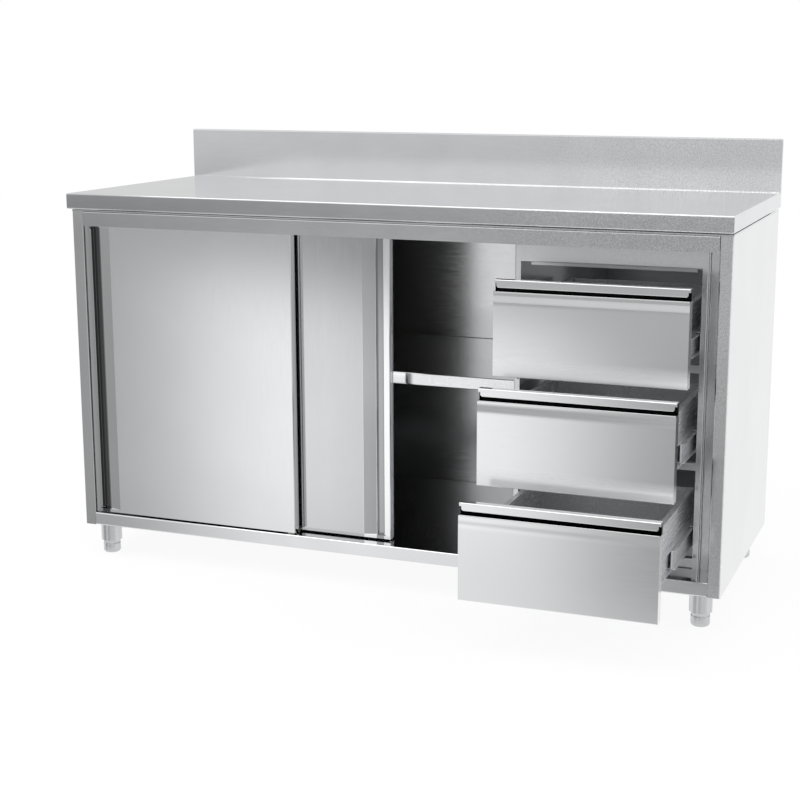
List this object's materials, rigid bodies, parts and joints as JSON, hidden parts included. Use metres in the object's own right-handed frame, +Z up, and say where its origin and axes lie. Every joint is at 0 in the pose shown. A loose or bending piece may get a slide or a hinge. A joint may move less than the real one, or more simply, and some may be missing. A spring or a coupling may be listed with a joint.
{
  "type": "stainless steel base cabinet",
  "caption": "Freestanding stainless steel base cabinet with upstand, sliding doors, inner shelf and a block of pull-out drawers on telescopic slides, on adjustable feet",
  "frame": {"origin": "on the floor, in the middle of the rest-pose box, which has the drawers pulled out as pictured", "axes": "X to the right along the worktop, Y to the wall, Z up"},
  "size_m": [1.5, 0.861, 0.97],
  "materials": {
    "worktop_steel": "satin brushed along its length",
    "panel_steel": "satin brushed, the floor and the right side almost mirror-like",
    "inner_steel": "plain satin sheet",
    "door_steel": "fine satin brushed upright",
    "drawer_steel": "fine satin brushed",
    "box_steel": "plain bright sheet",
    "leg_steel": "turned and polished tube",
    "zinc_steel": "zinc plated",
    "board": "moisture resistant chipboard",
    "rubber": "black rubber",
    "nylon": "natural nylon",
    "black_plastic": "black moulded plastic"
  },
  "bodies": {
    "carcass": {"worktop": "worktop_steel", "worktop_underlay": "board", "worktop_hat_rails": "inner_steel", "side_panel_left": "panel_steel", "side_panel_right": "panel_steel", "back_panel": "inner_steel", "floor_panel": "panel_steel", "floor_stiffeners": "inner_steel", "top_front_rail": "panel_steel", "top_rear_rail": "inner_steel", "door_track": "inner_steel", "track_stops": "rubber", "door_floor_guide": "nylon", "shelf": "panel_steel", "shelf_angles": "inner_steel", "block_face_frame": "panel_steel", "block_side_left": "inner_steel", "block_side_right": "inner_steel", "block_top_panel": "inner_steel", "block_filler": "panel_steel", "drawer_buffers": "rubber", "cabinet_slide_members": "zinc_steel", "leg_plates": "zinc_steel", "leg_plate_nuts": "zinc_steel", "leg_tubes": "leg_steel", "leg_inserts": "black_plastic"},
    "foot_front_left": {"foot_front_left": "leg_steel"},
    "foot_front_right": {"foot_front_right": "leg_steel"},
    "foot_rear_left": {"foot_rear_left": "leg_steel"},
    "foot_rear_right": {"foot_rear_right": "leg_steel"},
    "left_door": {"left_door_shell": "door_steel", "left_door_liner": "inner_steel", "left_door_hangers": "zinc_steel"},
    "left_door_roller_left": {"left_door_roller_left": "nylon"},
    "left_door_roller_right": {"left_door_roller_right": "nylon"},
    "right_door": {"right_door_shell": "door_steel", "right_door_liner": "inner_steel", "right_door_hangers": "zinc_steel"},
    "right_door_roller_left": {"right_door_roller_left": "nylon"},
    "right_door_roller_right": {"right_door_roller_right": "nylon"},
    "top_drawer": {"top_drawer_front": "drawer_steel", "top_drawer_inner_panel": "inner_steel", "top_drawer_box": "box_steel", "top_drawer_slide_members": "zinc_steel"},
    "top_slide_middle": {"top_slide_middle_members": "zinc_steel"},
    "middle_drawer": {"middle_drawer_front": "drawer_steel", "middle_drawer_inner_panel": "inner_steel", "middle_drawer_box": "box_steel", "middle_drawer_slide_members": "zinc_steel"},
    "middle_slide_middle": {"middle_slide_middle_members": "zinc_steel"},
    "bottom_drawer": {"bottom_drawer_front": "drawer_steel", "bottom_drawer_inner_panel": "inner_steel", "bottom_drawer_box": "box_steel", "bottom_drawer_slide_members": "zinc_steel"},
    "bottom_slide_middle": {"bottom_slide_middle_members": "zinc_steel"}
  },
  "joints": [
    {"name": "left_door_slide", "type": "slide", "parent": "carcass", "child": "left_door", "axis": [1, 0, 0], "range_m": [0, 0.484]},
    {"name": "right_door_slide", "type": "slide", "parent": "carcass", "child": "right_door", "axis": [1, 0, 0], "range_m": [-0.218, 0.266]},
    {"name": "left_door_roller_left_spin", "type": "hinge", "parent": "left_door", "child": "left_door_roller_left", "pos_m": [-0.649, -0.138, 0.7931], "axis": [0, 1, 0], "continuous": true},
    {"name": "left_door_roller_right_spin", "type": "hinge", "parent": "left_door", "child": "left_door_roller_right", "pos_m": [-0.274, -0.138, 0.7931], "axis": [0, 1, 0], "continuous": true},
    {"name": "right_door_roller_left_spin", "type": "hinge", "parent": "right_door", "child": "right_door_roller_left", "pos_m": [-0.431, -0.107, 0.7931], "axis": [0, 1, 0], "continuous": true},
    {"name": "right_door_roller_right_spin", "type": "hinge", "parent": "right_door", "child": "right_door_roller_right", "pos_m": [-0.056, -0.107, 0.7931], "axis": [0, 1, 0], "continuous": true},
    {"name": "top_drawer_slide", "type": "slide", "parent": "carcass", "child": "top_drawer", "axis": [0, -1, 0], "range_m": [-0.133, 0.287]},
    {"name": "top_slide_middle_run", "type": "slide", "parent": "carcass", "child": "top_slide_middle", "axis": [0, -1, 0], "range_m": [-0.0665, 0.1435]},
    {"name": "middle_drawer_slide", "type": "slide", "parent": "carcass", "child": "middle_drawer", "axis": [0, -1, 0], "range_m": [-0.228, 0.192]},
    {"name": "middle_slide_middle_run", "type": "slide", "parent": "carcass", "child": "middle_slide_middle", "axis": [0, -1, 0], "range_m": [-0.114, 0.096]},
    {"name": "bottom_drawer_slide", "type": "slide", "parent": "carcass", "child": "bottom_drawer", "axis": [0, -1, 0], "range_m": [-0.337, 0.083]},
    {"name": "bottom_slide_middle_run", "type": "slide", "parent": "carcass", "child": "bottom_slide_middle", "axis": [0, -1, 0], "range_m": [-0.1685, 0.0415]},
    {"name": "foot_front_left_screw", "type": "slide", "parent": "carcass", "child": "foot_front_left", "axis": [0, 0, -1], "range_m": [-0.015, 0.02]},
    {"name": "foot_front_right_screw", "type": "slide", "parent": "carcass", "child": "foot_front_right", "axis": [0, 0, -1], "range_m": [-0.015, 0.02]},
    {"name": "foot_rear_left_screw", "type": "slide", "parent": "carcass", "child": "foot_rear_left", "axis": [0, 0, -1], "range_m": [-0.015, 0.02]},
    {"name": "foot_rear_right_screw", "type": "slide", "parent": "carcass", "child": "foot_rear_right", "axis": [0, 0, -1], "range_m": [-0.015, 0.02]}
  ],
  "couplings": [
    {"joint": "left_door_roller_left_spin", "follows": "left_door_slide", "rad_per_m": 117.65},
    {"joint": "left_door_roller_right_spin", "follows": "left_door_slide", "rad_per_m": 117.65},
    {"joint": "right_door_roller_left_spin", "follows": "right_door_slide", "rad_per_m": 117.65},
    {"joint": "right_door_roller_right_spin", "follows": "right_door_slide", "rad_per_m": 117.65},
    {"joint": "top_slide_middle_run", "follows": "top_drawer_slide", "ratio": 0.5},
    {"joint": "middle_slide_middle_run", "follows": "middle_drawer_slide", "ratio": 0.5},
    {"joint": "bottom_slide_middle_run", "follows": "bottom_drawer_slide", "ratio": 0.5}
  ]
}
